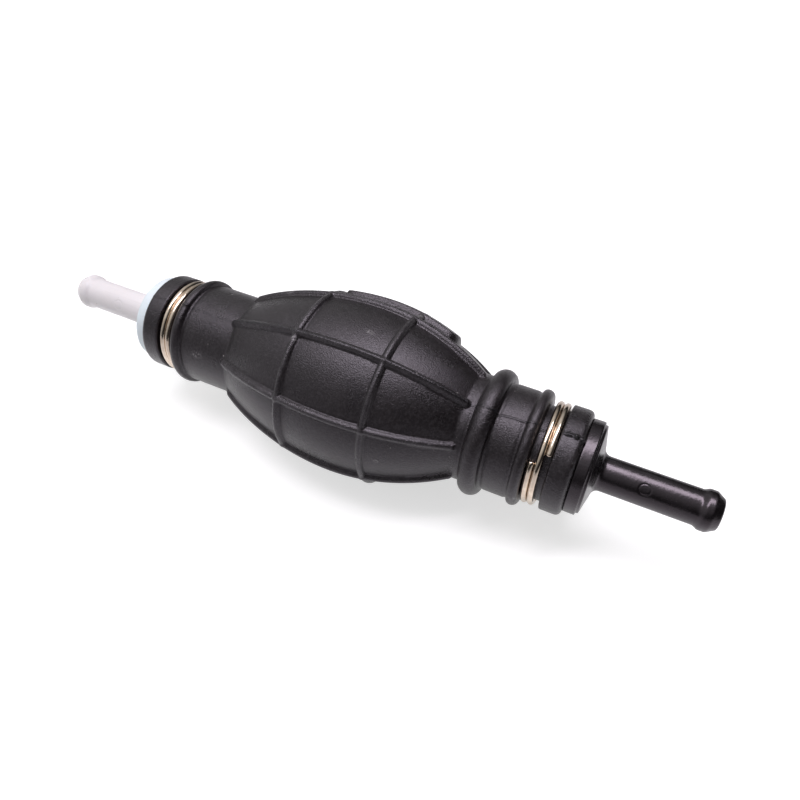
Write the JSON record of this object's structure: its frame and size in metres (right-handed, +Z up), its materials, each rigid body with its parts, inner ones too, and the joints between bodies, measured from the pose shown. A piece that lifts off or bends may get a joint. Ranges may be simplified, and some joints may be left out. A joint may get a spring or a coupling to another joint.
{
  "type": "hand primer pump",
  "caption": "Ribbed rubber squeeze bulb with a one-way valve in each neck and a barbed hose tail at each end, for priming a fuel line.",
  "frame": {"origin": "on the flow axis at mid-length, half way between the tips of the two hose tails", "axes": "+X along the flow, from the pale inlet tail to the black outlet tail; +Z up, with the pump lying between two of its long ribs"},
  "size_m": [0.17, 0.0418, 0.0418],
  "materials": {
    "bulb_rubber": "matte moulded nitrile rubber, charcoal black, slightly rubbed on the ribs",
    "natural_nylon": "natural white moulded nylon, satin",
    "black_nylon": "black moulded nylon, satin",
    "clamp_wire": "bright nickel-plated spring wire",
    "valve_plastic": "moulded acetal, satin",
    "seal_rubber": "soft nitrile rubber",
    "spring_steel": "plain stainless spring wire"
  },
  "bodies": {
    "pump": {"rubber_bulb": "bulb_rubber", "inlet_fitting": "natural_nylon", "outlet_fitting": "black_nylon", "inlet_wire_clamp": "clamp_wire", "outlet_wire_clamp": "clamp_wire", "inlet_valve_seat": "valve_plastic", "inlet_valve_cage": "valve_plastic", "inlet_valve_spring": "spring_steel", "outlet_valve_seat": "valve_plastic", "outlet_valve_cage": "valve_plastic", "outlet_valve_spring": "spring_steel"},
    "inlet_disc": {"inlet_valve_poppet": "valve_plastic", "inlet_poppet_seal": "seal_rubber"},
    "outlet_disc": {"outlet_valve_poppet": "valve_plastic", "outlet_poppet_seal": "seal_rubber"}
  },
  "joints": [
    {"name": "inlet_valve_lift", "type": "slide", "parent": "pump", "child": "inlet_disc", "axis": [1, 0, 0], "range_m": [0, 0.002], "stiffness_N_per_m": 235, "springref_m": -0.0005, "deforming": ["inlet_valve_spring"]},
    {"name": "outlet_valve_lift", "type": "slide", "parent": "pump", "child": "outlet_disc", "axis": [1, 0, 0], "range_m": [0, 0.002], "stiffness_N_per_m": 235, "springref_m": -0.0005, "deforming": ["outlet_valve_spring"]}
  ]
}
